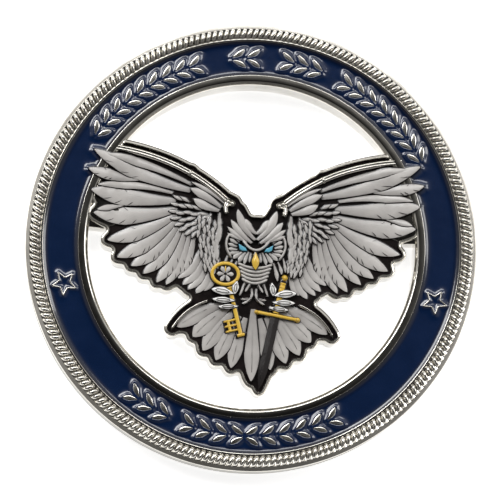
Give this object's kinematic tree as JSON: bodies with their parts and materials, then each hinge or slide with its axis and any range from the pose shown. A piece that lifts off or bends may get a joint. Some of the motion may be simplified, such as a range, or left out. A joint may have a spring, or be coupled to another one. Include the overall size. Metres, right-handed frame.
{
  "type": "challenge coin",
  "caption": "Round cut-out coin with a rope edge and an enamelled ring; an owl with spread wings, holding a key and a dagger, spans its opening.",
  "frame": {"origin": "centre of the back plane, which is the plane of the flat rim on the reverse", "axes": "+Z out of the front face, +Y towards the top of the design, +X to the right seen from the front"},
  "size_m": [0.0508, 0.0508, 0.004],
  "materials": {
    "polished_nickel": "die-cast zinc alloy, polished and plated in bright nickel",
    "blue_enamel": "glossy navy soft enamel, level but drawn up at its edges",
    "black_enamel": "glossy black soft enamel",
    "grey_enamel": "satin warm grey enamel, slightly domed on each feather",
    "white_enamel": "satin white enamel",
    "yellow_enamel": "satin golden yellow enamel",
    "pale_blue_enamel": "glossy pale blue enamel"
  },
  "bodies": {
    "root": {"coin_casting": "polished_nickel", "ring_enamel": "blue_enamel", "owl_black_bed": "black_enamel", "right_primary_feathers": "grey_enamel", "left_primary_feathers": "grey_enamel", "right_secondary_feathers": "grey_enamel", "left_secondary_feathers": "grey_enamel", "right_inner_feathers": "grey_enamel", "left_inner_feathers": "grey_enamel", "right_covert_feathers": "grey_enamel", "left_covert_feathers": "grey_enamel", "right_shoulder_feathers": "grey_enamel", "left_shoulder_feathers": "grey_enamel", "right_tail_feathers": "grey_enamel", "left_tail_feathers": "grey_enamel", "centre_tail_feather": "grey_enamel", "crown_feathers": "grey_enamel", "brow_band": "grey_enamel", "face_feathers": "grey_enamel", "right_face_rim": "grey_enamel", "left_face_rim": "grey_enamel", "right_eye": "pale_blue_enamel", "left_eye": "pale_blue_enamel", "beak": "yellow_enamel", "breast_feathers": "grey_enamel", "right_talons": "white_enamel", "left_talons": "white_enamel", "right_leg_feathers": "grey_enamel", "left_leg_feathers": "grey_enamel", "key": "yellow_enamel", "key_rosette": "grey_enamel", "dagger_pommel": "yellow_enamel", "dagger_grip": "yellow_enamel", "dagger_guard": "yellow_enamel", "dagger_blade": "black_enamel"}
  },
  "joints": []
}
